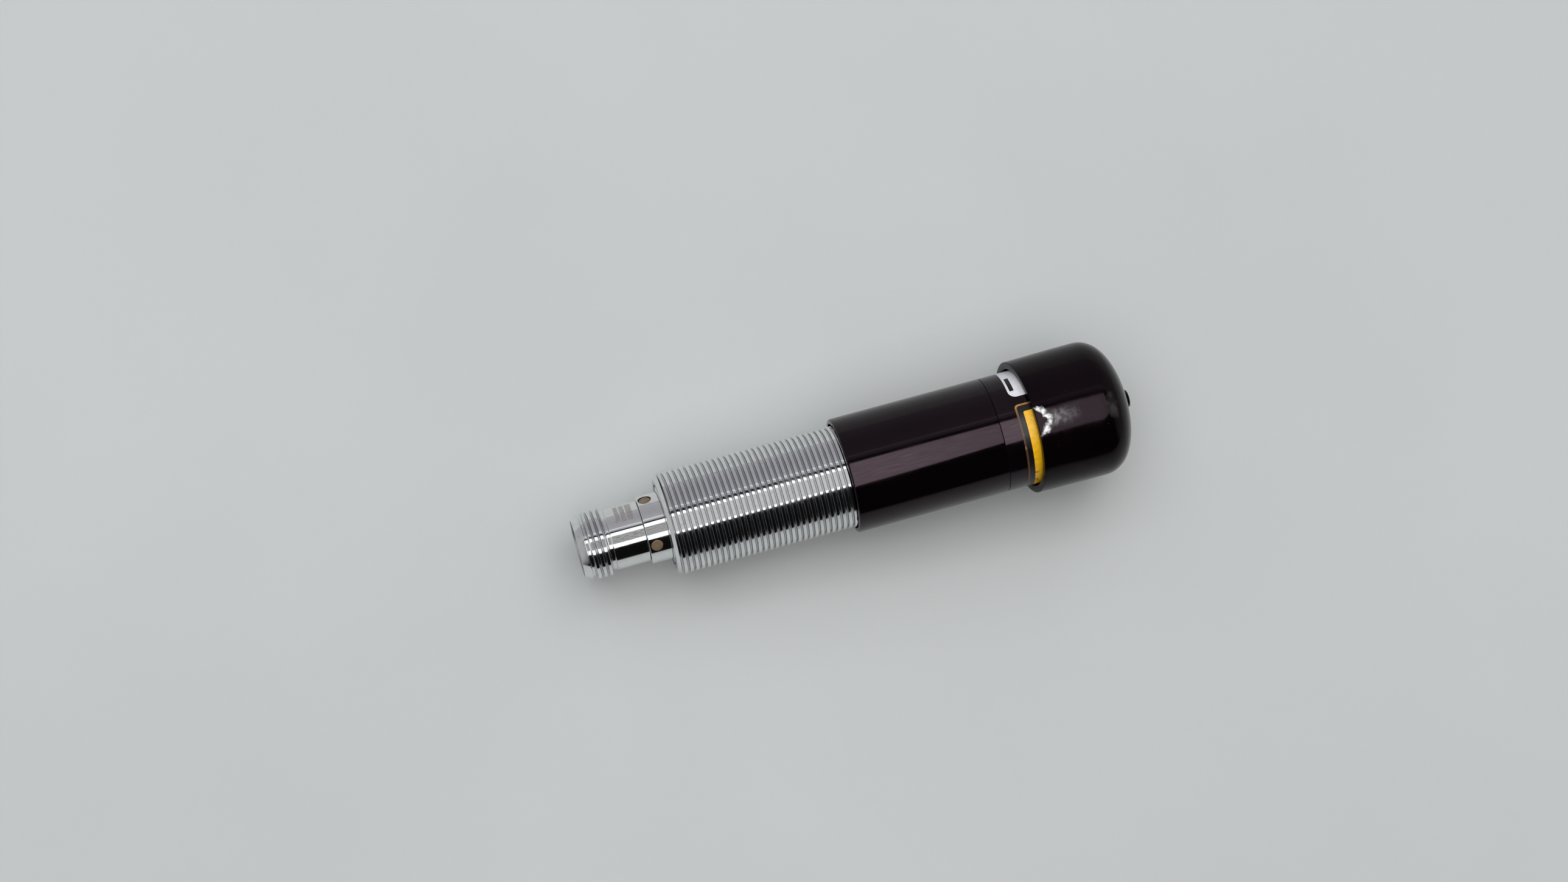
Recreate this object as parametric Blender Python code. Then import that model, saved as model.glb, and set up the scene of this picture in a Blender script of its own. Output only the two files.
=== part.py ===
"""Tubular proximity sensor: M12 plug connector, ring of status windows, M18 x 1 threaded barrel,
black plastic head and a pull-off vinyl end cap, with what it holds inside.

The sensor's axis is +X, from the connector's open end towards the sensing face, and +Z is up.
Stations are distances in millimetres from the connector's end face, and the origin is on the axis,
halfway along the overall length. Angles round the axis run from +Z towards +Y.
"""

import math

import bmesh
import bpy
from mathutils import Matrix, Vector

MM = 0.001
FIT = 0.3  # clearance left between touching pieces

# Stations along the axis, in millimetres from the connector's end face.
PLUG_THREAD_START = 1.3
NECK_START = 5.65
CARRIER_FLOOR = 7.2
SEAL_STATION = 9.0
CARRIER_END = 11.0
NECK_END = 11.45
WINDOW_STATION = 12.85
LED_BOARD_START = 14.0
COLLAR_END = 15.25
BARREL_THREAD_START = 16.15
COLLAR_SEAL_STATION = 17.5
COLLAR_PLUG_END = 19.4
BOARD_START = 19.8
POTTING_START = 22.0
POTTING_END = 30.0
CAPACITOR_START = 34.0
HEAD_START = 46.9
BARREL_THREAD_END = 47.15
SLEEVE_SEAL_STATION = 54.0
BARREL_END = 60.0
LABEL_START = 73.7
MOUTH = 78.7
FACE_START = 80.0
BOARD_END = 83.4
CAP_SHOULDER = 90.9
HEAD_END = 92.5
CAP_END = 97.35
OVERALL_LENGTH = 98.3

# Radii in millimetres.
PLUG_CREST = 5.92
PLUG_ROOT = 5.3
PLUG_BORE = 4.7
NECK_RADIUS = 5.3
COLLAR_RADIUS = 5.9
BARREL_CREST = 8.93
BARREL_ROOT = 8.35
BARREL_BORE = 7.0
SPIGOT_RADIUS = 8.3
HEAD_RADIUS = 10.0
HEAD_BORE = 8.6
CAP_MOUTH_RADIUS = 11.62
CAP_RADIUS = 11.75
CAP_WALL = 1.3
CARRIER_CAVITY = 3.9
CARRIER_BASE = 3.95
CARRIER_WALL = PLUG_BORE - FIT
SPIGOT_WALL = 0.4
COLLAR_WALL = 0.95
WINDOW_RING_BORE = 3.2
WINDOW_RING_RADIUS = 3.9
FACE_SKIRT = HEAD_BORE - FIT
FACE_WALL = 0.7

PITCH = 1.0  # both threads are fine metric threads
PLUG_TURNS = 3  # full turns of crest; the run-in and run-out add one more pitch
BARREL_TURNS = 30

PIN_CIRCLE = 2.5
PIN_RADIUS = 0.475
PIN_ANGLES = [0, 90, 180, 270]
KEY_ANGLE = 45
WINDOW_ANGLES = [58 + 90 * quarter for quarter in range(4)]
WINDOW_RADIUS = 1.15

BOARD_HALF_WIDTH = 5.4
BOARD_THICKNESS = 1.0

MOUTH_SLOPE = math.tan(math.radians(4.35))  # the cap's mouth was trimmed slightly off square
MOUTH_BLEND = 6.0  # the trim's slope dies out over this length
DOME_POWER = 2.3  # a little fuller than an ellipse, which is 2

COLOURS = {
    "nickel_plate": ((0.72, 0.73, 0.72), 0.18, 1.0),
    "head_plastic": ((0.018, 0.015, 0.018), 0.32, 0.0),
    "cap_vinyl": ((0.014, 0.011, 0.014), 0.22, 0.0),
    "label_film": ((0.016, 0.014, 0.016), 0.30, 0.0),
    "insert_plastic": ((0.02, 0.02, 0.022), 0.55, 0.0),
    "light_plastic": ((0.36, 0.26, 0.14), 0.35, 0.0),
    "gold_plate": ((0.83, 0.62, 0.26), 0.25, 1.0),
    "seal_rubber": ((0.03, 0.03, 0.03), 0.70, 0.0),
    "board_laminate": ((0.02, 0.16, 0.07), 0.45, 0.0),
    "chip_epoxy": ((0.025, 0.025, 0.028), 0.50, 0.0),
    "capacitor_can": ((0.62, 0.63, 0.65), 0.28, 1.0),
    "led_clear": ((0.80, 0.72, 0.30), 0.20, 0.0),
    "wire_jacket": ((0.45, 0.10, 0.05), 0.45, 0.0),
    "potting_resin": ((0.05, 0.05, 0.045), 0.40, 0.0),
    "ferrite": ((0.06, 0.06, 0.065), 0.60, 0.0),
    "copper_wire": ((0.72, 0.33, 0.14), 0.30, 1.0),
}


def clear_scene():
    for obj in list(bpy.data.objects):
        bpy.data.objects.remove(obj, do_unlink=True)


def material(slot):
    """The Principled material of a slot, made on first use."""
    found = bpy.data.materials.get(slot)
    if found:
        return found
    colour, roughness, metallic = COLOURS[slot]
    made = bpy.data.materials.new(slot)
    made.use_nodes = True
    shader = made.node_tree.nodes["Principled BSDF"]
    shader.inputs["Base Color"].default_value = (*colour, 1.0)
    shader.inputs["Roughness"].default_value = roughness
    shader.inputs["Metallic"].default_value = metallic
    return made


def along(station):
    """World X of a station."""
    return (station - OVERALL_LENGTH / 2) * MM


def on_circle(station, radius, degrees):
    """World point at a station, at a radius and an angle from +Z towards +Y."""
    angle = math.radians(degrees)
    return Vector((along(station), radius * math.sin(angle) * MM, radius * math.cos(angle) * MM))


def add_object(name, mesh, slot, smooth_degrees=35):
    mesh.materials.append(material(slot))
    mesh.shade_smooth()
    mesh.set_sharp_from_angle(angle=math.radians(smooth_degrees))
    obj = bpy.data.objects.new(name, mesh)
    bpy.context.scene.collection.objects.link(obj)
    return obj


def from_bmesh(name, bm, slot):
    bmesh.ops.triangulate(bm, faces=bm.faces)
    bmesh.ops.recalc_face_normals(bm, faces=bm.faces)
    mesh = bpy.data.meshes.new(name)
    bm.to_mesh(mesh)
    bm.free()
    return add_object(name, mesh, slot)


def turned_bmesh(outline, segments, shift=None):
    """A closed outline of (station, radius) turned about the axis. A point of radius 0 is a pole.

    shift, where given, returns millimetres to add to the station of a point (station, z).
    """
    bm = bmesh.new()
    rings = []
    for station, radius in outline:
        if radius == 0:
            rings.append([bm.verts.new(on_circle(station, 0, 0))])
            continue
        ring = []
        for step in range(segments):
            degrees = 360 * step / segments
            moved = station
            if shift:
                moved += shift(station, radius * math.cos(math.radians(degrees)))
            ring.append(bm.verts.new(on_circle(moved, radius, degrees)))
        rings.append(ring)
    for first, second in zip(rings, rings[1:] + rings[:1]):
        join_rings(bm, first, second, segments)
    return bm


def join_rings(bm, first, second, segments):
    if len(first) == 1 and len(second) == 1:
        return
    for step in range(segments):
        after = (step + 1) % segments
        if len(first) == 1:
            bm.faces.new((first[0], second[step], second[after]))
        elif len(second) == 1:
            bm.faces.new((first[step], second[0], first[after]))
        else:
            bm.faces.new((first[step], second[step], second[after], first[after]))


def turned(name, outline, slot, segments=28):
    return from_bmesh(name, turned_bmesh(outline, segments), slot)


def tube_outline(start, end, inner, outer):
    """The outline of a plain tube, or of a solid rod where the inner radius is 0."""
    return [(start, inner), (start, outer), (end, outer), (end, inner)]


def threaded(name, before, after, start, turns, crest, root, slot, segments=24):
    """A turned piece with an outside thread: `before` and `after` are the rest of its outline.

    The outline runs before -> thread -> after, outside first, and closes along the bore. The thread
    is a true right-hand helix. Its first and last crests end in small flat steps, where the tool
    ran in and out.
    """
    bm = bmesh.new()

    def ring(station, radius):
        return [bm.verts.new(on_circle(station, radius, -360 * j / segments)) for j in range(segments)]

    def helix(first_station, radius, whole_turns):
        count = segments * whole_turns + 1
        return [
            bm.verts.new(on_circle(first_station + PITCH * k / segments, radius, -360 * k / segments))
            for k in range(count)
        ]

    def strip(first, second, count):
        for k in range(count):
            bm.faces.new((first[k], second[k], second[k + 1], first[k + 1]))

    run = 0.1
    roots = helix(start, root, turns + 1)
    crests = helix(start + PITCH / 2, crest, turns)
    low = ring(start - run, root)
    high = ring(start + PITCH * (turns + 1) + run, root)
    strip(low + low[:1], roots, segments)
    strip(roots, crests, segments * turns)
    strip(crests, roots[segments:], segments * turns)
    strip(roots[segments * turns:], high + high[:1], segments)
    bm.faces.new((low[0], roots[0], crests[0], roots[segments]))
    last = segments * turns
    bm.faces.new((roots[last], crests[last], roots[last + segments], high[0]))
    rings = [low] + [ring(*point) for point in reversed(before)]
    rings += [ring(*point) for point in reversed(after)] + [high]
    for first, second in zip(rings, rings[1:]):
        join_rings(bm, first, second, segments)
    return from_bmesh(name, bm, slot)


def box(name, low, high, slot, bevel=0.0):
    """A block between two corners given as (station, y, z) in millimetres."""
    bm = bmesh.new()
    bmesh.ops.create_cube(bm, size=1.0)
    corner_low = Vector((along(low[0]), low[1] * MM, low[2] * MM))
    corner_high = Vector((along(high[0]), high[1] * MM, high[2] * MM))
    size = corner_high - corner_low
    place = Matrix.Translation((corner_low + corner_high) / 2) @ Matrix.Diagonal((*size, 1.0))
    bmesh.ops.transform(bm, matrix=place, verts=bm.verts)
    if bevel:
        bmesh.ops.bevel(bm, geom=bm.edges, offset=bevel * MM, segments=1, affect="EDGES")
    return from_bmesh(name, bm, slot)


def rod_bmesh(start, end, radius, segments=12):
    """A plain cylinder between two world points."""
    bm = bmesh.new()
    direction = end - start
    turn = direction.to_track_quat("Z", "Y").to_matrix().to_4x4()
    place = Matrix.Translation((start + end) / 2) @ turn
    bmesh.ops.create_cone(
        bm, cap_ends=True, segments=segments, radius1=radius * MM, radius2=radius * MM,
        depth=direction.length, matrix=place,
    )
    return bm


def helper(name, bm):
    """A cutter or an added shape, used by a Boolean and left out of the object."""
    obj = from_bmesh(name, bm, "seal_rubber")
    obj.hide_render = True
    obj.display_type = "WIRE"
    return obj


def combine(target, other, operation):
    modifier = target.modifiers.new(other.name, "BOOLEAN")
    modifier.operation = operation
    modifier.object = other


def ring_seal(name, station, radius, section):
    """An O-ring: a small circle turned about the axis."""
    outline = [
        (station + section * math.cos(math.tau * k / 6), radius + section * math.sin(math.tau * k / 6))
        for k in range(6)
    ]
    return turned(name, outline, "seal_rubber", 20)


def wire(name, points, radius, slot):
    """A round wire along points given as (station, y, z) in millimetres."""
    curve = bpy.data.curves.new(name, "CURVE")
    curve.dimensions = "3D"
    curve.bevel_depth = radius * MM
    curve.bevel_resolution = 1
    curve.use_fill_caps = True
    spline = curve.splines.new("POLY")
    spline.points.add(len(points) - 1)
    for point, (station, y, z) in zip(spline.points, points):
        point.co = (along(station), y * MM, z * MM, 1.0)
    curve.materials.append(material(slot))
    obj = bpy.data.objects.new(name, curve)
    bpy.context.scene.collection.objects.link(obj)
    return obj


def bend(start, turn_start, turn_end, end, steps=5):
    """Points from start to end, straight at both ends and easing over from one line to the other."""
    points = [start]
    for k in range(steps + 1):
        t = k / steps
        ease = t * t * (3 - 2 * t)
        station = turn_start + (turn_end - turn_start) * t
        points.append((station, *(a + (b - a) * ease for a, b in zip(start[1:], end[1:]))))
    points.append(end)
    return points


# The connector


def connector_shell():
    """The plated M12 plug thread, the smooth neck and the spigot that the collar sits on."""
    before = [
        (2.0, PLUG_BORE),
        (0.0, PLUG_BORE + 0.15),
        (0.0, PLUG_CREST - 0.75),
        (0.3, PLUG_CREST - 0.45),
        (PLUG_THREAD_START - 0.3, PLUG_CREST - 0.45),
    ]
    spigot = COLLAR_RADIUS - 1.25
    after = [
        (NECK_START - 0.15, PLUG_ROOT - 0.2),
        (NECK_START, NECK_RADIUS),
        (NECK_END, NECK_RADIUS),
        (NECK_END, spigot),
        (COLLAR_END - 0.25, spigot),
        (COLLAR_END - 0.25, spigot - SPIGOT_WALL),
        (CARRIER_FLOOR - 0.2, spigot - SPIGOT_WALL),
        (CARRIER_FLOOR - 0.4, PLUG_BORE),
    ]
    shell = threaded(
        "connector_shell", before, after, PLUG_THREAD_START, PLUG_TURNS, PLUG_CREST, PLUG_ROOT,
        "nickel_plate",
    )
    cut_windows(shell, 3.0, 5.0, WINDOW_RADIUS)
    return shell


def cut_windows(target, inner, outer, radius):
    """Four round holes on the window angles."""
    for number, degrees in enumerate(WINDOW_ANGLES, 1):
        start = on_circle(WINDOW_STATION, inner, degrees)
        end = on_circle(WINDOW_STATION, outer, degrees)
        cutter = helper(f"{target.name}_window_cutter_{number}", rod_bmesh(start, end, radius))
        combine(target, cutter, "DIFFERENCE")


def contact_carrier():
    """The moulded insert: a cup round the contacts, with its coding rib, and a base that holds them."""
    groove = 0.65
    outline = [
        (1.2, CARRIER_CAVITY),
        (1.2, CARRIER_WALL),
        (CARRIER_FLOOR - 0.8, CARRIER_WALL),
        (CARRIER_FLOOR - 0.3, CARRIER_BASE),
        (SEAL_STATION - groove, CARRIER_BASE),
        (SEAL_STATION - groove, CARRIER_BASE - 0.85),
        (SEAL_STATION + groove, CARRIER_BASE - 0.85),
        (SEAL_STATION + groove, CARRIER_BASE),
        (CARRIER_END, CARRIER_BASE),
        (CARRIER_END, 0),
        (CARRIER_FLOOR, 0),
        (CARRIER_FLOOR, CARRIER_CAVITY),
    ]
    carrier = turned("contact_carrier", outline, "insert_plastic")
    rib_start = on_circle(1.7, CARRIER_CAVITY, KEY_ANGLE)
    rib_end = on_circle(CARRIER_FLOOR - 0.5, CARRIER_CAVITY, KEY_ANGLE)
    combine(carrier, helper("coding_rib", rod_bmesh(rib_start, rib_end, 0.45, 10)), "UNION")
    for number, degrees in enumerate(PIN_ANGLES, 1):
        start = on_circle(CARRIER_FLOOR - 1, PIN_CIRCLE, degrees)
        end = on_circle(CARRIER_END + 1, PIN_CIRCLE, degrees)
        cutter = helper(f"pin_cutter_{number}", rod_bmesh(start, end, PIN_RADIUS + 0.2, 12))
        combine(carrier, cutter, "DIFFERENCE")
    return carrier


def contact_pins():
    """Four gold-plated pins with rounded tips and thin solder tails."""
    outline = [
        (1.9, 0),
        (2.0, 0.25),
        (2.35, PIN_RADIUS),
        (CARRIER_END + 0.2, PIN_RADIUS),
        (CARRIER_END + 0.2, 0.25),
        (12.4, 0.25),
        (12.4, 0),
    ]
    for number, degrees in enumerate(PIN_ANGLES, 1):
        bm = turned_bmesh(outline, 12)
        offset = on_circle(0, PIN_CIRCLE, degrees)
        offset.x = 0
        bmesh.ops.translate(bm, verts=bm.verts, vec=offset)
        from_bmesh(f"contact_pin_{number}", bm, "gold_plate")


# The ring of status windows


def led_collar():
    """The collar with four windows, and the plug behind it that closes the barrel."""
    plug = BARREL_BORE - FIT
    groove = 0.7
    outline = [
        (NECK_END + 0.08, COLLAR_RADIUS - COLLAR_WALL),
        (NECK_END + 0.08, COLLAR_RADIUS - 0.08),
        (NECK_END + 0.16, COLLAR_RADIUS),
        (COLLAR_END + 0.1, COLLAR_RADIUS),
        (COLLAR_END + 0.1, plug),
        (COLLAR_SEAL_STATION - groove, plug),
        (COLLAR_SEAL_STATION - groove, plug - 0.75),
        (COLLAR_SEAL_STATION + groove, plug - 0.75),
        (COLLAR_SEAL_STATION + groove, plug),
        (COLLAR_PLUG_END, plug),
        (COLLAR_PLUG_END, COLLAR_RADIUS - COLLAR_WALL),
    ]
    collar = turned("led_collar", outline, "nickel_plate", 32)
    cut_windows(collar, 4.4, 7.0, WINDOW_RADIUS)
    return collar


def light_ring():
    """The translucent ring whose four bosses fill the windows."""
    outline = tube_outline(NECK_END + 0.3, 14.4, WINDOW_RING_BORE, WINDOW_RING_RADIUS)
    ring = turned("light_ring", outline, "light_plastic")
    for number, degrees in enumerate(WINDOW_ANGLES, 1):
        start = on_circle(WINDOW_STATION, WINDOW_RING_RADIUS - 0.4, degrees)
        end = on_circle(WINDOW_STATION, COLLAR_RADIUS - 0.12, degrees)
        boss = helper(f"boss_{number}", rod_bmesh(start, end, WINDOW_RADIUS - 0.15))
        combine(ring, boss, "UNION")
    return ring


def led_board():
    outline = tube_outline(LED_BOARD_START, LED_BOARD_START + 0.6, 0, 1.95)
    return turned("led_board", outline, "board_laminate", 24)


def status_leds():
    """Four small LEDs on the round board, one for each window."""
    for number, degrees in enumerate(WINDOW_ANGLES, 1):
        bm = bmesh.new()
        bmesh.ops.create_cube(bm, size=1.0)
        size = Matrix.Diagonal((0.6 * MM, 0.8 * MM, 0.7 * MM, 1.0))
        turn = Matrix.Rotation(-math.radians(degrees), 4, "X")
        centre = on_circle(LED_BOARD_START - FIT - 0.3, 1.3, degrees)
        bmesh.ops.transform(bm, matrix=Matrix.Translation(centre) @ turn @ size, verts=bm.verts)
        from_bmesh(f"status_led_{number}", bm, "led_clear")


# The barrel


def threaded_barrel():
    """The M18 x 1 barrel, with a plain spigot inside the head and a groove for the head's seal."""
    before = [
        (COLLAR_END + 0.05, BARREL_BORE),
        (COLLAR_END + 0.05, BARREL_ROOT - 0.1),
        (COLLAR_END + 0.35, BARREL_ROOT + 0.2),
        (BARREL_THREAD_START - 0.35, BARREL_ROOT + 0.2),
    ]
    groove = 0.8
    after = [
        (BARREL_THREAD_END + 0.4, SPIGOT_RADIUS),
        (SLEEVE_SEAL_STATION - groove, SPIGOT_RADIUS),
        (SLEEVE_SEAL_STATION - groove, SPIGOT_RADIUS - 0.75),
        (SLEEVE_SEAL_STATION + groove, SPIGOT_RADIUS - 0.75),
        (SLEEVE_SEAL_STATION + groove, SPIGOT_RADIUS),
        (BARREL_END, SPIGOT_RADIUS),
        (BARREL_END, BARREL_BORE),
    ]
    return threaded(
        "threaded_barrel", before, after, BARREL_THREAD_START, BARREL_TURNS, BARREL_CREST,
        BARREL_ROOT, "nickel_plate",
    )


def seals():
    ring_seal("carrier_seal", SEAL_STATION, 3.72, 0.35)
    ring_seal("collar_seal", COLLAR_SEAL_STATION, 6.4, 0.42)
    ring_seal("head_seal", SLEEVE_SEAL_STATION, 8.02, 0.42)


# The head


def head_sleeve():
    """The black plastic sleeve over the barrel's end, stepped down where the label wraps round it."""
    step = HEAD_RADIUS - 0.45
    outline = [
        (HEAD_START, BARREL_CREST + FIT),
        (HEAD_START, HEAD_RADIUS - 0.55),
        (HEAD_START + 0.17, HEAD_RADIUS - 0.17),
        (HEAD_START + 0.55, HEAD_RADIUS),
        (LABEL_START - 0.1, HEAD_RADIUS),
        (LABEL_START - 0.1, step),
        (HEAD_END - 0.4, step),
        (HEAD_END, step - 0.4),
        (HEAD_END, HEAD_BORE),
        (BARREL_THREAD_END + 0.9, HEAD_BORE),
        (BARREL_THREAD_END + 0.5, BARREL_CREST + FIT),
    ]
    return turned("head_sleeve", outline, "head_plastic", 36)


def label_band():
    """The printed film label wrapped round the head."""
    outline = tube_outline(LABEL_START, HEAD_END - 1.0, HEAD_RADIUS - 0.15, HEAD_RADIUS - 0.02)
    return turned("label_band", outline, "label_film", 36)


FACE_THICKNESS = 1.1


def sensing_face():
    """The thin-walled front cup that closes the head."""
    outline = [
        (FACE_START, FACE_SKIRT - FACE_WALL),
        (FACE_START, FACE_SKIRT),
        (HEAD_END - 0.2, FACE_SKIRT),
        (HEAD_END, FACE_SKIRT - 0.2),
        (HEAD_END, 0),
        (HEAD_END - FACE_THICKNESS, 0),
        (HEAD_END - FACE_THICKNESS, FACE_SKIRT - FACE_WALL),
    ]
    return turned("sensing_face", outline, "head_plastic")


CORE_END = HEAD_END - FACE_THICKNESS - FIT
CORE_START = CORE_END - 5.6
CORE_BACK = 1.5
LEAD_Y = 2.5
LEAD_Z = 4.1


def ferrite_core():
    """The pot core: a back plate, an outer wall and a centre post with a hole."""
    outer = FACE_SKIRT - FACE_WALL - FIT
    outline = [
        (CORE_START, 0.9),
        (CORE_START, outer),
        (CORE_END, outer),
        (CORE_END, outer - 1.0),
        (CORE_START + CORE_BACK, outer - 1.0),
        (CORE_START + CORE_BACK, 2.6),
        (CORE_END, 2.6),
        (CORE_END, 0.9),
    ]
    core = turned("ferrite_core", outline, "ferrite")
    cut_lead_holes(core, CORE_START - 1, CORE_START + CORE_BACK + 0.1)
    return core


def core_holder():
    """The plastic disc between the core and the end of the circuit board."""
    holder = turned(
        "core_holder", tube_outline(CORE_START - FIT - 1.3, CORE_START - FIT, 0.9, 7.2),
        "insert_plastic",
    )
    cut_lead_holes(holder, CORE_START - 3, CORE_START + 1)
    return holder


def cut_lead_holes(target, start, end):
    for side in (-1, 1):
        offset = Vector((0, side * LEAD_Y * MM, LEAD_Z * MM))
        first = Vector((along(start), 0, 0)) + offset
        last = Vector((along(end), 0, 0)) + offset
        cutter = helper(f"{target.name}_lead_cutter_{side + 2}", rod_bmesh(first, last, 0.5, 12))
        combine(target, cutter, "DIFFERENCE")


def coil_bobbin():
    start = CORE_START + CORE_BACK + FIT
    end = CORE_END - 0.1
    tube = 3.3
    flange = 5.9
    outline = [
        (start, 2.9),
        (start, flange),
        (start + 0.4, flange),
        (start + 0.4, tube),
        (end - 0.4, tube),
        (end - 0.4, flange),
        (end, flange),
        (end, 2.9),
    ]
    return turned("coil_bobbin", outline, "insert_plastic")


def coil_winding():
    """The wound coil, its outer face scalloped by the last layer of wire."""
    start = CORE_START + CORE_BACK + 2 * FIT + 0.4
    end = CORE_END - 0.1 - 0.4 - FIT
    layers = 5
    pitch = (end - start) / layers
    outline = [(start, 3.6)]
    for k in range(layers):
        outline.append((start + pitch * k, 5.25))
        outline.append((start + pitch * (k + 0.5), 5.5))
    outline.append((end, 5.25))
    outline.append((end, 3.6))
    return turned("coil_winding", outline, "copper_wire", 20)


def coil_leads():
    for number, side in enumerate((-1, 1), 1):
        start = (CORE_START + CORE_BACK - 0.1, side * LEAD_Y, LEAD_Z)
        end = (78.5, side * LEAD_Y, BOARD_THICKNESS / 2 + FIT + 0.2)
        wire(f"coil_lead_{number}", bend(start, CORE_START - 2.2, 79.5, end), 0.18, "copper_wire")


# The electronics


def circuit_board():
    half = BOARD_THICKNESS / 2
    low = (BOARD_START, -BOARD_HALF_WIDTH, -half)
    high = (BOARD_END, BOARD_HALF_WIDTH, half)
    return box("circuit_board", low, high, "board_laminate")


CHIPS = [
    # name, station, y, length, width, height, side of the board
    ("oscillator_chip", 70.0, 0.0, 5.0, 4.0, 1.5, 1),
    ("trigger_chip", 60.0, 0.8, 4.0, 3.4, 1.4, 1),
    ("regulator_chip", 50.0, -0.5, 4.6, 4.0, 1.6, 1),
    ("output_transistor", 38.0, 0.0, 6.5, 5.6, 2.2, -1),
    ("surge_diode", 45.5, -1.5, 4.2, 2.6, 2.0, -1),
]


def board_parts():
    for name, station, y, length, width, height, side in CHIPS:
        near = side * (BOARD_THICKNESS / 2 + FIT)
        far = near + side * height
        low = (station - length / 2, y - width / 2, min(near, far))
        high = (station + length / 2, y + width / 2, max(near, far))
        box(name, low, high, "chip_epoxy", 0.15)


def smoothing_capacitor():
    """A small can capacitor lying along the board."""
    radius = 2.1
    centre = BOARD_THICKNESS / 2 + FIT + radius
    outline = [
        (CAPACITOR_START, 0),
        (CAPACITOR_START, radius - 0.2),
        (CAPACITOR_START + 0.2, radius),
        (CAPACITOR_START + 7.2, radius),
        (CAPACITOR_START + 7.6, radius - 0.15),
        (CAPACITOR_START + 8.0, radius),
        (CAPACITOR_START + 9.0, radius),
        (CAPACITOR_START + 9.2, radius - 0.2),
        (CAPACITOR_START + 9.2, 0),
    ]
    bm = turned_bmesh(outline, 20)
    bmesh.ops.translate(bm, verts=bm.verts, vec=(0, 0, centre * MM))
    return from_bmesh("smoothing_capacitor", bm, "capacitor_can")


def potting_plug():
    """Cured resin that fixes the board behind the connector. The board passes through it."""
    outline = tube_outline(POTTING_START, POTTING_END, 0, BARREL_BORE - FIT)
    plug = turned("potting_plug", outline, "potting_resin")
    half = BOARD_THICKNESS / 2 + FIT
    width = BOARD_HALF_WIDTH + FIT
    low = (POTTING_START - 2, -width, -half)
    high = (POTTING_END + 2, width, half)
    slot = box("board_cutter", low, high, "seal_rubber")
    slot.hide_render = True
    slot.display_type = "WIRE"
    combine(plug, slot, "DIFFERENCE")
    return plug


def pin_wires():
    """A short wire from each pin's tail to the near end of the board, clear of the board's edge."""
    above = BOARD_THICKNESS / 2 + FIT + 0.2
    ends = [(0.0, above), (PIN_CIRCLE, above), (0.0, -above), (-PIN_CIRCLE, -above)]
    for number, (degrees, (y, z)) in enumerate(zip(PIN_ANGLES, ends), 1):
        angle = math.radians(degrees)
        start = (12.7, PIN_CIRCLE * math.sin(angle), PIN_CIRCLE * math.cos(angle))
        points = bend(start, 15.0, 18.6, (21.5, y, z))
        wire(f"pin_wire_{number}", points, 0.2, "wire_jacket")


# The end cap


def mouth_shift(station, z):
    """How far the off-square trim moves a point along the axis."""
    weight = max(0.0, 1.0 - (station - MOUTH) / MOUTH_BLEND)
    return MOUTH_SLOPE * z * min(1.0, weight)


def dome(length, radius, steps, last):
    """Points of a superellipse from the side wall round to the fraction `last` of the way in."""
    points = []
    for k in range(steps + 1):
        angle = math.radians(90) * last * k / steps
        along_part = math.sin(angle) ** (2 / DOME_POWER)
        across_part = math.cos(angle) ** (2 / DOME_POWER)
        points.append((CAP_SHOULDER + length * along_part, radius * across_part))
    return points


def end_cap():
    """The dip-moulded vinyl cap: a thin-walled cup with a rounded closed end and a mould nub."""
    inner_radius = HEAD_RADIUS + FIT
    rim = 0.35
    outer = dome(CAP_END - CAP_SHOULDER, CAP_RADIUS, 6, 0.93)
    inner = dome(CAP_END - CAP_WALL - CAP_SHOULDER, CAP_RADIUS - CAP_WALL, 4, 0.9)
    outline = [
        (MOUTH + rim, inner_radius),
        (MOUTH, inner_radius + rim),
        (MOUTH, CAP_MOUTH_RADIUS - rim),
        (MOUTH + rim, CAP_MOUTH_RADIUS),
        (MOUTH + MOUTH_BLEND, CAP_MOUTH_RADIUS + 0.04),
        *outer,
        (CAP_END, 1.75),
        (OVERALL_LENGTH - 0.2, 1.55),
        (OVERALL_LENGTH, 1.2),
        (OVERALL_LENGTH, 0),
        (CAP_END - CAP_WALL, 0),
        *reversed(inner),
        (MOUTH + MOUTH_BLEND, inner_radius),
    ]
    return from_bmesh("end_cap", turned_bmesh(outline, 36, mouth_shift), "cap_vinyl")


def main():
    clear_scene()
    connector_shell()
    contact_carrier()
    contact_pins()
    led_collar()
    light_ring()
    led_board()
    status_leds()
    threaded_barrel()
    seals()
    circuit_board()
    board_parts()
    smoothing_capacitor()
    potting_plug()
    pin_wires()
    head_sleeve()
    label_band()
    sensing_face()
    ferrite_core()
    core_holder()
    coil_bobbin()
    coil_winding()
    coil_leads()
    end_cap()


main()
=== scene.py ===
"""Looks, light and camera for the tubular proximity sensor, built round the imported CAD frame.

The axis is +X, from the connector's open end to the capped sensing end. Stations are distances in
millimetres from the connector's end face, and angles round the axis run from +Z towards +Y. Every
outer surface is made again here as a fine turned mesh, with its ends and radii from its CAD node;
the parts inside the housing stay CAD nodes and get their materials here.
"""

import math

import bmesh
import bpy
from mathutils import Matrix, Vector, noise


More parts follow.
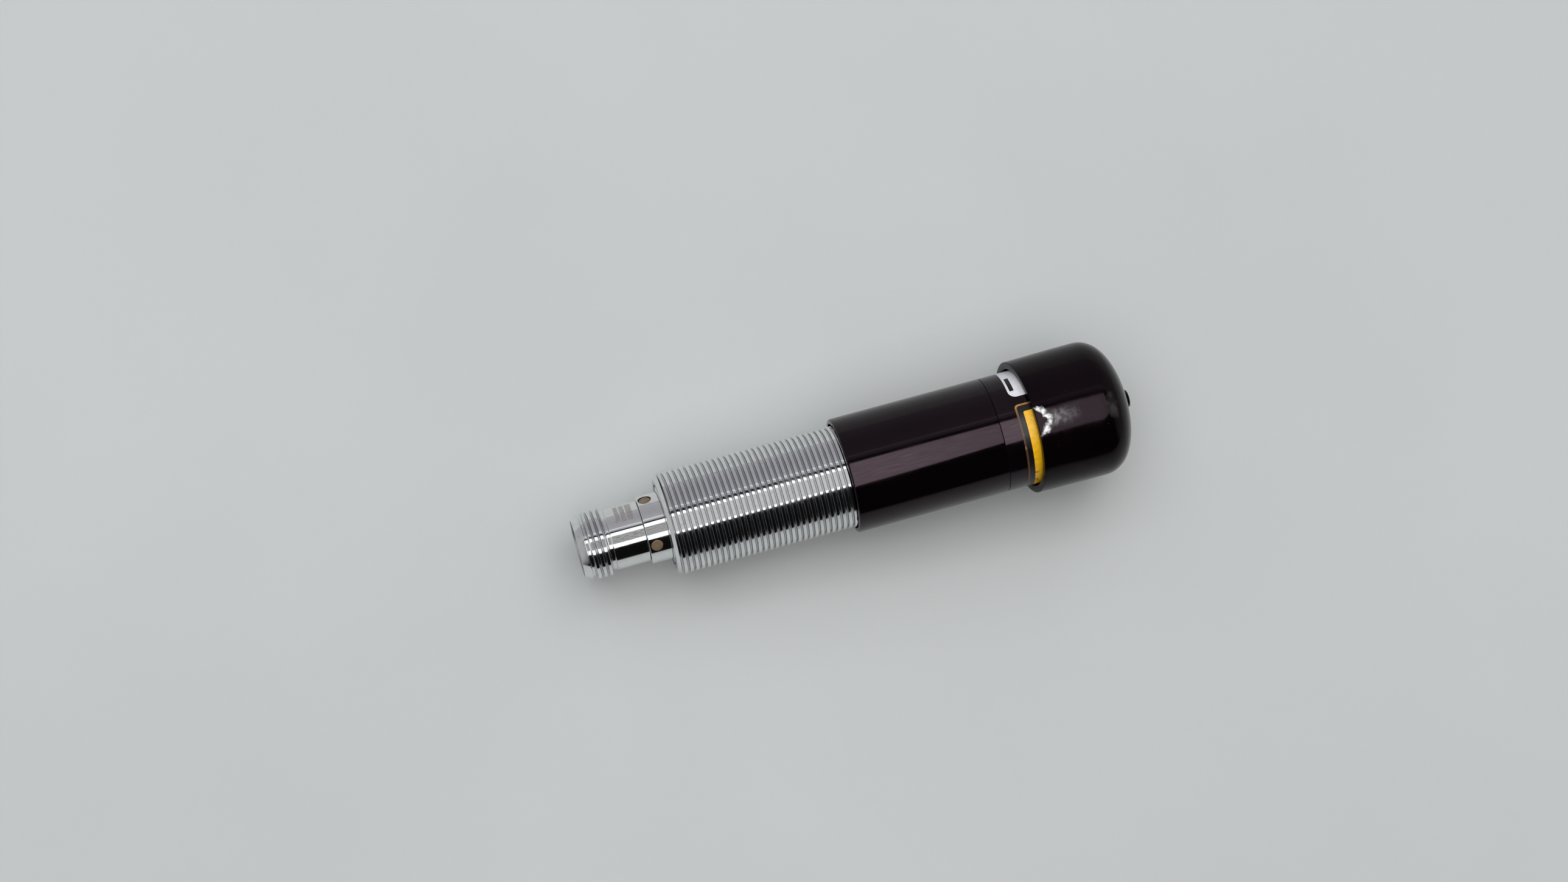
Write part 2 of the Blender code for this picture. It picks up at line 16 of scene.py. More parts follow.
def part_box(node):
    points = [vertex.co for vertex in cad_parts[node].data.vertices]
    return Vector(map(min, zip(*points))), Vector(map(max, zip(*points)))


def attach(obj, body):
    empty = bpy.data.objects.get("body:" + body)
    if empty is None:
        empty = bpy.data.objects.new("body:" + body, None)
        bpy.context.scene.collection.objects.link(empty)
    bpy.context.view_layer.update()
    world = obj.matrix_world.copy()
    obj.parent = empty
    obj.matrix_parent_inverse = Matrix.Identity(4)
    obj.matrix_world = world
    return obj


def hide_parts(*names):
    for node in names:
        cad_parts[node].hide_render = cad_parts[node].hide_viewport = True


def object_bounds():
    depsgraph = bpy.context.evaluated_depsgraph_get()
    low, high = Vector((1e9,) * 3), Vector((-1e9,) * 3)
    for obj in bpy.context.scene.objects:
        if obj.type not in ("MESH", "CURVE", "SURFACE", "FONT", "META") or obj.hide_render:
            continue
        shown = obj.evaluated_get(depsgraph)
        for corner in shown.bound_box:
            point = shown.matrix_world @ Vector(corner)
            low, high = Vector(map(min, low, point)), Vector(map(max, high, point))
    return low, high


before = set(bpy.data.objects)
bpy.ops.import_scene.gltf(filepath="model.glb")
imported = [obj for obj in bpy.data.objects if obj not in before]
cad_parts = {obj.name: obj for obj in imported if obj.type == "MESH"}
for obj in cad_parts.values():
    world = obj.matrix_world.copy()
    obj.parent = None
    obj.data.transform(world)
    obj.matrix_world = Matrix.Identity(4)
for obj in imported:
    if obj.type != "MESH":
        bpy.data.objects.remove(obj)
cad_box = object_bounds()

MM = 0.001
START = cad_box[0].x


def span(node):
    """First station, last station and outer radius of a turned CAD node, in millimetres."""
    low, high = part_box(node)
    return (low.x - START) / MM, (high.x - START) / MM, high.z / MM


SHELL_START, SHELL_END, SHELL_RADIUS = span("connector_shell")
CARRIER_START, CARRIER_END, CARRIER_RADIUS = span("contact_carrier")
COLLAR_START, COLLAR_PLUG_END, COLLAR_PLUG_RADIUS = span("led_collar")
BARREL_START, BARREL_END, BARREL_RADIUS = span("threaded_barrel")
SLEEVE_START, SLEEVE_END, SLEEVE_RADIUS = span("head_sleeve")
BAND_START, BAND_END, BAND_RADIUS = span("label_band")
FACE_START, FACE_END, FACE_RADIUS = span("sensing_face")
CAP_OUTER_RADIUS = span("end_cap")[2]
LENGTH = (cad_box[1].x - START) / MM

FINE = 96  # segments round a turned piece
CORNER_STEPS = 4  # segments of a rounded corner
SHARP_ANGLE = math.radians(32)  # edges bent further than this aren't shaded smooth
PITCH = 1.0


# Mesh helpers


def along(station):
    return START + station * MM


def on_circle(station, radius, degrees):
    """World point at a station, at a radius and an angle from +Z towards +Y."""
    angle = math.radians(degrees)
    return Vector((along(station), radius * math.sin(angle) * MM, radius * math.cos(angle) * MM))


def softened(outline):
    """The closed outline, with corners that name a third number rounded to about that radius."""
    soft = []
    for number, (station, radius, *rounding) in enumerate(outline):
        corner = Vector((station, radius))
        if not rounding:
            soft.append((station, radius))
            continue
        before = Vector(outline[number - 1][:2]) - corner
        after = Vector(outline[(number + 1) % len(outline)][:2]) - corner
        cut = min(rounding[0], before.length * 0.49, after.length * 0.49)
        first = corner + before.normalized() * cut
        last = corner + after.normalized() * cut
        for step in range(CORNER_STEPS + 1):
            t = step / CORNER_STEPS
            point = first * (1 - t) ** 2 + corner * 2 * t * (1 - t) + last * t ** 2
            soft.append(tuple(point))
    return soft


def join_rings(bm, first, second):
    count = max(len(first), len(second))
    for step in range(count):
        after = (step + 1) % count
        corners = [first[step % len(first)], second[step % len(second)]]
        corners += [second[after % len(second)], first[after % len(first)]]
        unique = list(dict.fromkeys(corners))
        if len(unique) > 2:
            bm.faces.new(unique)


def turned_bmesh(outline, segments=FINE, shift=None):
    """A closed outline of (station, radius) turned about the axis; a radius of 0 makes a pole."""
    bm = bmesh.new()
    rings = []
    for station, radius in outline:
        ring = []
        for step in range(segments if radius > 0 else 1):
            degrees = 360 * step / segments
            moved = (station, radius) if shift is None else shift(station, radius, degrees)
            ring.append(bm.verts.new(on_circle(*moved, degrees)))
        rings.append(ring)
    for first, second in zip(rings, rings[1:] + rings[:1]):
        if len(first) + len(second) > 2:
            join_rings(bm, first, second)
    return bm


# One pitch of the thread as (share of the pitch, share of the depth), from one groove's middle
THREAD_PROFILE = [
    (0.00, 0.0), (0.03, 0.006), (0.13, 0.075), (0.16, 0.45), (0.20, 0.87), (0.25, 0.97),
    (0.33, 1.0), (0.67, 1.0), (0.75, 0.97), (0.80, 0.87), (0.84, 0.45), (0.87, 0.075),
    (0.97, 0.006),
]
THREAD_LEAD_IN = 2.5  # how steeply the first and last crests rise
BORE_MARK = 2.0  # the groove layer's value in the bore; it runs from 0 to 1 down the threads
BORE_DEPTH = 0.4  # rings further below the thread's root than this count as bore, in millimetres


def threaded_bmesh(before, after, start, end, crest, root):
    """A turned piece with an outside right-hand thread from start to end.

    `before` and `after` are the rest of the outline, outside first, and close along the bore. Each
    row of vertices follows the helix, and is held back to a plain ring at either end.
    """
    bm = bmesh.new()
    groove = bm.verts.layers.float.new("groove")
    rows = len(THREAD_PROFILE)
    turns = math.ceil((end - start) / PITCH) + 2
    angles = [-360 * j / FINE for j in range(FINE)]
    low = [bm.verts.new(on_circle(start, root, a)) for a in angles]
    high = [bm.verts.new(on_circle(end, root, a)) for a in angles]
    grid = []
    for row in range(rows * turns + 1):
        share, height = THREAD_PROFILE[row % rows]
        line = []
        for j in range(FINE):
            station = start + PITCH * (row // rows + share + j / FINE - 1)
            if station <= start:
                line.append(low[j])
            elif station >= end:
                line.append(high[j])
            else:
                edge = root + THREAD_LEAD_IN * min(station - start, end - station)
                radius = min(root + (crest - root) * height, edge)
                line.append(bm.verts.new(on_circle(station, radius, angles[j])))
                line[-1][groove] = (crest - radius) / (crest - root)
        grid.append(line)
    for row in range(rows * turns):
        for j in range(FINE):
            first, second = grid[row], grid[row + 1]
            corners = [first[j], second[j]]
            if j + 1 < FINE:
                corners += [second[j + 1], first[j + 1]]
            else:
                corners += [grid[min(row + rows + 1, rows * turns)][0]]
                corners += [grid[min(row + rows, rows * turns)][0]]
            unique = list(dict.fromkeys(corners))
            if len(unique) > 2:
                bm.faces.new(unique)
    rings = [low]
    for station, radius in list(reversed(before)) + list(reversed(after)):
        ring = [bm.verts.new(on_circle(station, radius, a)) for a in angles]
        rings.append(ring)
        for vertex in ring:
            vertex[groove] = BORE_MARK if radius < root - BORE_DEPTH else 0.0
    rings.append(high)
    for first, second in zip(rings, rings[1:]):
        join_rings(bm, first, second)
    return bm


def finish_mesh(name, bm):
    bmesh.ops.recalc_face_normals(bm, faces=bm.faces)
    mesh = bpy.data.meshes.new(name)
    bm.to_mesh(mesh)
    bm.free()
    mesh.shade_smooth()
    mesh.set_sharp_from_angle(angle=SHARP_ANGLE)
    obj = bpy.data.objects.new(name, mesh)
    bpy.context.scene.collection.objects.link(obj)
    return obj


def piece(obj, slot, body, *nodes):
    """Gives a finished object its material and slot, its body, and the CAD nodes it replaces."""
    obj.data.materials.clear()
    obj.data.materials.append(MATERIALS[slot])
    if nodes:
        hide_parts(*nodes)
    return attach(obj, body)


def rod_bmesh(start, end, radius, segments):
    """A plain cylinder between two world points, for cutting and joining."""
    bm = bmesh.new()
    direction = end - start
    turn = direction.to_track_quat("Z", "Y").to_matrix().to_4x4()
    place = Matrix.Translation((start + end) / 2) @ turn
    bmesh.ops.create_cone(
        bm, cap_ends=True, segments=segments, radius1=radius * MM, radius2=radius * MM,
        depth=direction.length, matrix=place,
    )
    return bm


def combine(target, tools, operation):
    """Joins or cuts the target with the tool meshes, and keeps only the result."""
    for tool in tools:
        modifier = target.modifiers.new(tool.name, "BOOLEAN")
        modifier.operation = operation
        modifier.solver = "EXACT"
        modifier.object = tool
    graph = bpy.context.evaluated_depsgraph_get()
    result = bpy.data.meshes.new_from_object(target.evaluated_get(graph))
    target.modifiers.clear()
    target.data = result
    for tool in tools:
        bpy.data.objects.remove(tool, do_unlink=True)


ON_SURFACE = 0.02  # how near the surface a vertex has to be, in millimetres
FACES_OUT = 0.97  # the least cosine between a face's normal and straight out


def true_normals(obj, radius):
    """Points the shading normals on a turned surface of that radius straight out from the axis.

    Cutting holes leaves long thin faces there, which would otherwise shade unevenly.
    """
    mesh = obj.data
    mesh.set_sharp_from_angle(angle=SHARP_ANGLE)
    normals = [Vector(corner.vector) for corner in mesh.corner_normals]
    for polygon in mesh.polygons:
        for loop in polygon.loop_indices:
            place = mesh.vertices[mesh.loops[loop].vertex_index].co
            outward = Vector((0, place.y, place.z))
            near = abs(outward.length - radius * MM) < ON_SURFACE * MM
            if near and polygon.normal.dot(outward.normalized()) > FACES_OUT:
                normals[loop] = outward.normalized()
    mesh.normals_split_custom_set(normals)


# Materials


def node(tree, kind, inputs=None, **settings):
    """A new shader node with its inputs set, or linked where the value is another node's output."""
    made = tree.nodes.new(kind)
    for key, value in settings.items():
        setattr(made, key, value)
    for key, value in (inputs or {}).items():
        if isinstance(value, bpy.types.NodeSocket):
            tree.links.new(value, made.inputs[key])
        else:
            made.inputs[key].default_value = value
    return made


def speckle(tree, scale, detail=3.0, stretch=(1.0, 1.0, 1.0), offset=0.0):
    """Noise on the object's own coordinates: scale is cells in a metre."""
    place = node(tree, "ShaderNodeTexCoord").outputs["Object"]
    moved = node(tree, "ShaderNodeMapping", {
        "Vector": place, "Scale": stretch, "Location": (offset, offset, offset),
    }).outputs["Vector"]
    return node(tree, "ShaderNodeTexNoise", {
        "Vector": moved, "Scale": scale, "Detail": detail, "Roughness": 0.55,
    }).outputs["Fac"]


def remap(tree, value, low, high, from_low=0.3, from_high=0.7):
    return node(tree, "ShaderNodeMapRange", {
        "Value": value, "From Min": from_low, "From Max": from_high,
        "To Min": low, "To Max": high,
    }).outputs["Result"]


def calc(tree, operation, first, second=0.0):
    return node(tree, "ShaderNodeMath", {0: first, 1: second}, operation=operation).outputs[0]


def product(tree, first, *others):
    for other in others:
        first = calc(tree, "MULTIPLY", first, other)
    return first


def blended(tree, factor, first, second):
    """A colour between two colours, each an (r, g, b) or another node's output."""
    mixed = node(tree, "ShaderNodeMix", data_type="RGBA")
    tree.links.new(factor, mixed.inputs[0])
    for socket, value in ((6, first), (7, second)):
        if isinstance(value, bpy.types.NodeSocket):
            tree.links.new(value, mixed.inputs[socket])
        else:
            mixed.inputs[socket].default_value = (*value, 1.0)
    return mixed.outputs[2]


def bumped(tree, height, depth, under=None):
    """A bump of that depth in millimetres, laid over an earlier one where given."""
    inputs = {"Height": height, "Strength": 1.0, "Distance": depth * MM}
    if under:
        inputs["Normal"] = under
    return node(tree, "ShaderNodeBump", inputs).outputs["Normal"]


def material(slot, colour=None, roughness=None, normal=None, **constants):
    """A slot's Principled material; callables build its `colour`, `roughness` and `normal`."""
    made = bpy.data.materials.new(slot)
    made.use_nodes = True
    tree = made.node_tree
    shader = tree.nodes["Principled BSDF"]
    for key, value in constants.items():
        shader.inputs[key.replace("_", " ").title().replace("Ior", "IOR")].default_value = value
    for socket, build in (("Base Color", colour), ("Roughness", roughness), ("Normal", normal)):
        if build:
            tree.links.new(build(tree), shader.inputs[socket])
    return made


GROOVE_ROUGHNESS = 0.20  # the plating stays a little duller down in the threads than on the crests
BORE_ROUGHNESS = 0.50


def nickel_plate():
    """Bright nickel plate: fine turning lines, a faint waviness, pits and finger smudges."""

    def colour(tree):
        patches = remap(tree, speckle(tree, 260), 0.0, 1.0)
        plate = blended(tree, patches, (0.83, 0.84, 0.83), (0.74, 0.75, 0.755))
        stain = remap(tree, speckle(tree, 900, 5.0, offset=3.0), 0.0, 1.0, 0.62, 0.72)
        stained = blended(tree, stain, plate, (0.62, 0.61, 0.62))
        # Darker base colour down the thread grooves and over the bore: painted shade.
        deep = node(tree, "ShaderNodeAttribute", attribute_name="groove").outputs["Fac"]
        return blended(tree, remap(tree, deep, 0.0, 1.0, 0.02, 0.9), stained, (0.52, 0.52, 0.55))

    def roughness(tree):
        smudge = remap(tree, speckle(tree, 180, 4.0, offset=1.0), 0.04, 0.11, 0.35, 0.7)
        deep = node(tree, "ShaderNodeAttribute", attribute_name="groove").outputs["Fac"]
        dull = remap(tree, deep, 0.0, GROOVE_ROUGHNESS, 0.03, 0.45)
        bore = remap(tree, deep, 0.0, BORE_ROUGHNESS, 1.0, 1.5)
        return calc(tree, "MAXIMUM", smudge, calc(tree, "MAXIMUM", dull, bore))

    def normal(tree):
        wave = bumped(tree, speckle(tree, 330, 1.0), 0.004)
        return bumped(tree, speckle(tree, 9000, 2.0, (1.0, 0.01, 0.01)), 0.0003, wave)

    return material("nickel_plate", colour, roughness, normal, metallic=1.0)


PLASTIC_SHEEN = 0.27
CAP_SHEEN = 0.13
LABEL_SHEEN = 0.30
PLUM = (1.0, 0.73, 0.87, 1.0)  # the black plastics reflect with a faint plum cast


def head_plastic():
    """Black moulded plastic with a satin polish, a very fine grain and faint rubbed streaks."""

    def colour(tree):
        patches = remap(tree, speckle(tree, 120), 0.0, 1.0)
        return blended(tree, patches, (0.0008, 0.0004, 0.0006), (0.0016, 0.0008, 0.0012))

    def roughness(tree):
        return remap(tree, speckle(tree, 700, 5.0, (0.25, 1.0, 1.0)), 0.07, 0.12)

    def normal(tree):
        wave = bumped(tree, speckle(tree, 190, 2.0, (0.35, 1.0, 1.0)), 0.004)
        return bumped(tree, speckle(tree, 9000, 2.0), 0.0002, wave)

    return material(
        "head_plastic", colour, roughness, normal,
        specular_ior_level=PLASTIC_SHEEN, specular_tint=PLUM,
    )


# Painted highlights on the cap's upper side, laid out like creases: an arrowhead that points away
# from the mouth, with a pale trail behind its tip, and a painted reflection patch on the shoulder.
HIGHLIGHT_TIP = (81.95, 0.1)  # station, and y in millimetres
HIGHLIGHT_SLOPE = 0.70
SHOULDER_HIGHLIGHT_CENTRE = (92.9, -0.3)
SHOULDER_HIGHLIGHT_NARROWING = 0.22  # below 1, the patch is longer round the cap than along it
HIGHLIGHT_WANDER = 1.6  # how far noise carries the edges of all of them, in millimetres


def painted_crease_highlight(tree):
    """Painted highlight strength, 0 to 1, over the crease-shaped marks and the shoulder patch."""
    place = node(tree, "ShaderNodeTexCoord").outputs["Object"]
    wander = node(tree, "ShaderNodeTexNoise", {"Vector": place, "Scale": 900.0, "Detail": 3.0})
    shift = node(tree, "ShaderNodeVectorMath", {
        0: wander.outputs["Color"], 1: (0.5, 0.5, 0.5),
    }, operation="SUBTRACT").outputs[0]
    moved = node(tree, "ShaderNodeVectorMath", {
        0: shift, 1: (HIGHLIGHT_WANDER * MM, HIGHLIGHT_WANDER * MM, 0.0), 2: place,
    }, operation="MULTIPLY_ADD").outputs[0]
    parts = node(tree, "ShaderNodeSeparateXYZ", {0: moved}).outputs
    # Kept to the upper side of the cap, which faces the overhead lamps.
    upper = remap(tree, parts["Z"], 0.0, 1.0, 0.0, 5 * MM)
    ahead = calc(tree, "SUBTRACT", parts["X"], along(HIGHLIGHT_TIP[0]))
    across = calc(tree, "ABSOLUTE", calc(tree, "SUBTRACT", parts["Y"], HIGHLIGHT_TIP[1] * MM))
    from_arm = calc(tree, "ADD", ahead, product(tree, across, HIGHLIGHT_SLOPE))
    arm = product(
        tree,
        remap(tree, calc(tree, "ABSOLUTE", from_arm), 1.0, 0.0, 0.2 * MM, 0.75 * MM),
        remap(tree, across, 1.0, 0.0, 2.1 * MM, 2.6 * MM),
        remap(tree, speckle(tree, 1500, 4.0, offset=2.0), 0.25, 1.0, 0.40, 0.58),
    )
    trail = product(
        tree,
        remap(tree, from_arm, 0.0, 1.0, 0.0, 0.3 * MM),
        remap(tree, ahead, 0.22, 0.0, 0.2 * MM, 5.5 * MM),
        remap(tree, across, 1.0, 0.0, 0.1 * MM, 1.7 * MM),
        remap(tree, speckle(tree, 1100, 4.0), 0.3, 1.0, 0.42, 0.60),
    )
    # The shoulder patch is a painted reflection of the overhead lamps.
    over = calc(tree, "SUBTRACT", parts["X"], along(SHOULDER_HIGHLIGHT_CENTRE[0]))
    beside = calc(tree, "SUBTRACT", parts["Y"], SHOULDER_HIGHLIGHT_CENTRE[1] * MM)
    reach = calc(
        tree, "ADD", product(tree, over, over), product(tree, beside, beside, SHOULDER_HIGHLIGHT_NARROWING),
    )
    patch_mask = product(
        tree,
        remap(tree, calc(tree, "SQRT", reach), 0.028, 0.0, 0.5 * MM, 1.25 * MM),
        remap(tree, speckle(tree, 600, 3.0), 0.3, 1.0, 0.40, 0.56),
    )
    highlight_strength = calc(tree, "MAXIMUM", calc(tree, "MAXIMUM", arm, trail), patch_mask)
    return product(tree, highlight_strength, upper)


def cap_vinyl():
    """Dip-moulded vinyl: glossy, soft undulations from the dip, a little dust, painted highlights.
    """

    def colour(tree):
        patches = remap(tree, speckle(tree, 90), 0.0, 1.0)
        vinyl = blended(tree, patches, (0.0008, 0.0004, 0.0006), (0.0018, 0.0009, 0.0013))
        dust = remap(tree, speckle(tree, 3500, 2.0, offset=5.0), 0.0, 1.0, 0.76, 0.80)
        dusty = blended(tree, dust, vinyl, (0.10, 0.095, 0.09))
        # A pale grey painted highlight over the crease-shaped marks and the shoulder patch.
        return blended(tree, painted_crease_highlight(tree), dusty, (0.74, 0.74, 0.73))

    def roughness(tree):
        return remap(tree, speckle(tree, 420, 4.0), 0.09, 0.17)

    def normal(tree):
        wave = bumped(tree, speckle(tree, 240, 2.0), 0.035)
        return bumped(tree, speckle(tree, 1600, 3.0, offset=4.0), 0.0015, wave)

    return material(
        "cap_vinyl", colour, roughness, normal,
        specular_ior_level=CAP_SHEEN, specular_tint=PLUM,
    )


def label_film():
    """The black film of the label, glossier than the moulding round it."""

    def colour(tree):
        patches = remap(tree, speckle(tree, 200), 0.0, 1.0)
        return blended(tree, patches, (0.0010, 0.0006, 0.0009), (0.0022, 0.0014, 0.0020))

    def roughness(tree):
        return remap(tree, speckle(tree, 600, 4.0), 0.07, 0.13)

    def normal(tree):
        return bumped(tree, speckle(tree, 500, 3.0, (0.5, 1.0, 1.0)), 0.0015)

    return material(
        "label_film", colour, roughness, normal,
        specular_ior_level=LABEL_SHEEN, specular_tint=PLUM,
    )


def light_plastic():
    """The tan, slightly translucent plastic of the windows."""

    def colour(tree):
        patches = remap(tree, speckle(tree, 1300, 3.0), 0.0, 1.0)
        return blended(tree, patches, (0.105, 0.074, 0.044), (0.145, 0.106, 0.066))

    def roughness(tree):
        return remap(tree, speckle(tree, 1500, 3.0), 0.18, 0.34)

    def normal(tree):
        return bumped(tree, speckle(tree, 2500, 3.0), 0.004)

    return material(
        "light_plastic", colour, roughness, normal, subsurface_weight=0.25, subsurface_scale=0.0006,
    )


# For the parts inside and the small fittings: two colours, roughness range, grain cells in a metre,
# grain depth in millimetres and the metallic value.
PLAIN_FINISHES = {
    "insert_plastic": ((0.016, 0.016, 0.018), (0.030, 0.029, 0.031), (0.42, 0.60), 9000, 0.003, 0.0),
    "gold_plate": ((0.83, 0.60, 0.25), (0.90, 0.70, 0.36), (0.14, 0.30), 5000, 0.001, 1.0),
    "seal_rubber": ((0.020, 0.020, 0.021), (0.040, 0.039, 0.038), (0.62, 0.80), 7000, 0.004, 0.0),
    "board_laminate": ((0.012, 0.13, 0.055), (0.030, 0.19, 0.09), (0.35, 0.50), 2200, 0.003, 0.0),
    "chip_epoxy": ((0.018, 0.018, 0.020), (0.034, 0.033, 0.035), (0.50, 0.65), 14000, 0.003, 0.0),
    "capacitor_can": ((0.55, 0.56, 0.57), (0.68, 0.69, 0.70), (0.22, 0.36), 6000, 0.001, 1.0),
    "led_clear": ((0.76, 0.68, 0.30), (0.86, 0.80, 0.45), (0.10, 0.22), 3000, 0.001, 0.0),
    "wire_jacket": ((0.38, 0.07, 0.04), (0.50, 0.13, 0.07), (0.38, 0.52), 5000, 0.002, 0.0),
    "potting_resin": ((0.035, 0.036, 0.032), (0.070, 0.068, 0.058), (0.25, 0.45), 1200, 0.010, 0.0),
    "ferrite": ((0.045, 0.045, 0.050), (0.085, 0.085, 0.092), (0.48, 0.66), 11000, 0.004, 0.0),
    "copper_wire": ((0.66, 0.28, 0.11), (0.80, 0.42, 0.20), (0.20, 0.34), 4000, 0.001, 1.0),
}


def plain_finish(slot, first, second, rough, scale, depth, metallic):
    def colour(tree):
        return blended(tree, remap(tree, speckle(tree, scale / 8), 0.0, 1.0), first, second)

    def roughness(tree):
        return remap(tree, speckle(tree, scale / 3, offset=1.0), *rough)

    def normal(tree):
        return bumped(tree, speckle(tree, scale, 4.0), depth)

    return material(slot, colour, roughness, normal, metallic=metallic)


MATERIALS = {
    "nickel_plate": nickel_plate(),
    "head_plastic": head_plastic(),
    "cap_vinyl": cap_vinyl(),
    "label_film": label_film(),
    "light_plastic": light_plastic(),
}
for slot, values in PLAIN_FINISHES.items():
    MATERIALS[slot] = plain_finish(slot, *values)


def print_ink(name, first, second, wear=0.0, darkening_towards_minus_y=None):
    """A printed colour of the label, faintly mottled and rubbed where wear is given.

    The last argument darkens the ink in patches towards -Y. It is (y up to which it is full, y where
    it ends, share): both y in millimetres, and a larger share covers more of the ink.
    """

    def colour(tree):
        ink = blended(tree, remap(tree, speckle(tree, 1500, 4.0), 0.0, 1.0), first, second)
        if not wear:
            return ink
        whole = 0.72 - wear
        patch_mask = remap(tree, speckle(tree, 420, 6.0, offset=7.0), 0.0, 1.0, whole, whole + 0.04)
        worn = blended(tree, patch_mask, ink, (0.10, 0.065, 0.03))
        if not darkening_towards_minus_y:
            return worn
        # The ink is darkened in patches towards -Y, fully below the first y and fading out by the
        # second.
        full, end, cover = darkening_towards_minus_y
        place = node(tree, "ShaderNodeTexCoord").outputs["Object"]
        sideways = node(tree, "ShaderNodeSeparateXYZ", {0: place}).outputs["Y"]
        low = remap(tree, sideways, 1.0, 0.0, full * MM, end * MM)
        undarkened = 0.62 - cover
        patches = remap(tree, speckle(tree, 650, 4.0, offset=9.0), 0.0, 1.0, undarkened, undarkened + 0.08)
        return blended(tree, product(tree, low, patches), worn, (0.055, 0.026, 0.010))

    def roughness(tree):
        return remap(tree, speckle(tree, 900, 4.0), 0.26, 0.42)

    def normal(tree):
        return bumped(tree, speckle(tree, 2600, 4.0), 0.003)

    return material(name, colour, roughness, normal, specular_ior_level=LABEL_SHEEN)


# The connector

PLUG_BORE = 4.7
LIP_RADIUS = 5.62
LIP_END = 1.30
PLUG_ROOT = 5.3
PLUG_THREAD_START, PLUG_THREAD_END = 1.75, 5.0
NECK_RADIUS = 5.3
NECK_START, NECK_END = 5.7, 11.45
COLLAR_RADIUS = 5.9
COLLAR_END = 15.35
WINDOW_STATION = 12.85
WINDOW_RADIUS = 1.15
WINDOW_SEGMENTS = 48
BOSS_SEGMENTS = 40
PIN_ANGLES = (0, 90, 180, 270)
PIN_CIRCLE = 2.5
SEAL_DEPTH = 0.75  # of the grooves for the collar's and the head's seals
WINDOW_ANGLES = [58 + 90 * quarter for quarter in range(4)]


def window_cutters(inner, outer):
    cutters = []
    for degrees in WINDOW_ANGLES:
        start = on_circle(WINDOW_STATION, inner, degrees)
        end = on_circle(WINDOW_STATION, outer, degrees)
        rod = rod_bmesh(start, end, WINDOW_RADIUS, WINDOW_SEGMENTS)
        cutters.append(finish_mesh("window_cutter", rod))
    return cutters


def connector_shell():
    """The plated plug: a conical lip, the M12 thread, an undercut, the neck and its spigot."""
    spigot = COLLAR_RADIUS - 1.25
    spigot_bore = spigot - 0.4
    undercut = PLUG_ROOT - 0.18
    neck_end = NECK_END - 0.02
    before = softened([
        (2.0, PLUG_BORE),
        (SHELL_START, PLUG_BORE + 0.15, 0.08),
        (SHELL_START, LIP_RADIUS - 0.65, 0.05),
        (LIP_END - 0.08, LIP_RADIUS, 0.04),
        (LIP_END, LIP_RADIUS, 0.04),
        (LIP_END + 0.12, PLUG_ROOT + 0.02, 0.02),
    ])
    after = softened([
        (PLUG_THREAD_END + 0.05, undercut, 0.03),
        (NECK_START - 0.12, undercut, 0.03),
        (NECK_START, NECK_RADIUS, 0.05),
        (neck_end, NECK_RADIUS, 0.06),
        (neck_end, spigot),
        (SHELL_END, spigot),
        (SHELL_END, spigot_bore),
        (7.0, spigot_bore),
        (6.8, PLUG_BORE),
    ])
    bm = threaded_bmesh(before, after, PLUG_THREAD_START, PLUG_THREAD_END, SHELL_RADIUS, PLUG_ROOT)
    shell = finish_mesh("connector_shell_plated", bm)
    combine(shell, window_cutters(3.0, 5.0), "DIFFERENCE")
    return piece(shell, "nickel_plate", "sensor", "connector_shell")


def led_collar():
    """The collar with its four windows, and the plug behind it that closes the barrel."""
    bore = COLLAR_RADIUS - 0.95
    plug = COLLAR_PLUG_RADIUS
    seal, groove = 17.5, 0.7
    outline = softened([
        (COLLAR_START, bore),
        (COLLAR_START, COLLAR_RADIUS, 0.10),
        (COLLAR_END, COLLAR_RADIUS),
        (COLLAR_END, plug),
        (seal - groove, plug),
        (seal - groove, plug - SEAL_DEPTH),
        (seal + groove, plug - SEAL_DEPTH),
        (seal + groove, plug),
        (COLLAR_PLUG_END, plug),
        (COLLAR_PLUG_END, bore),
    ])
    collar = finish_mesh("led_collar_plated", turned_bmesh(outline))
    combine(collar, window_cutters(4.4, 7.0), "DIFFERENCE")
    true_normals(collar, COLLAR_RADIUS)
    return piece(collar, "nickel_plate", "sensor", "led_collar")


def light_ring():
    """The tan ring whose four bosses fill the windows, each with a low domed end."""
    first, last, _ = span("light_ring")
    inner, outer = 3.2, 3.9
    outline = [(first, inner), (first, outer), (last, outer), (last, inner)]
    ring = finish_mesh("light_ring_tan", turned_bmesh(outline))
    bosses = []
    lens = WINDOW_RADIUS - 0.09
    turns = [math.tau * k / BOSS_SEGMENTS for k in range(BOSS_SEGMENTS)]
    for degrees in WINDOW_ANGLES:
        bm = bmesh.new()
        profile = softened([
            (0.0, 0.0), (0.0, lens), (2.20, lens, 0.16), (2.27, lens * 0.5, 0.3), (2.31, 0.0),
        ])
        rings = [
            [
                bm.verts.new((across * math.cos(a), across * math.sin(a), up))
                for a in (turns if across else turns[:1])
            ]
            for up, across in profile
        ]
        for one, two in zip(rings, rings[1:]):
            join_rings(bm, one, two)
        turn = (on_circle(0, 1, degrees) - on_circle(0, 0, 0)).to_track_quat("Z", "Y")
        place = Matrix.Translation(on_circle(WINDOW_STATION, 3.5, degrees))
        place = place @ turn.to_matrix().to_4x4() @ Matrix.Scale(MM, 4)
        bmesh.ops.transform(bm, matrix=place, verts=bm.verts)
        bosses.append(finish_mesh("window_boss", bm))
    combine(ring, bosses, "UNION")
    ring.data.set_sharp_from_angle(angle=SHARP_ANGLE)
    return piece(ring, "light_plastic", "sensor", "light_ring")


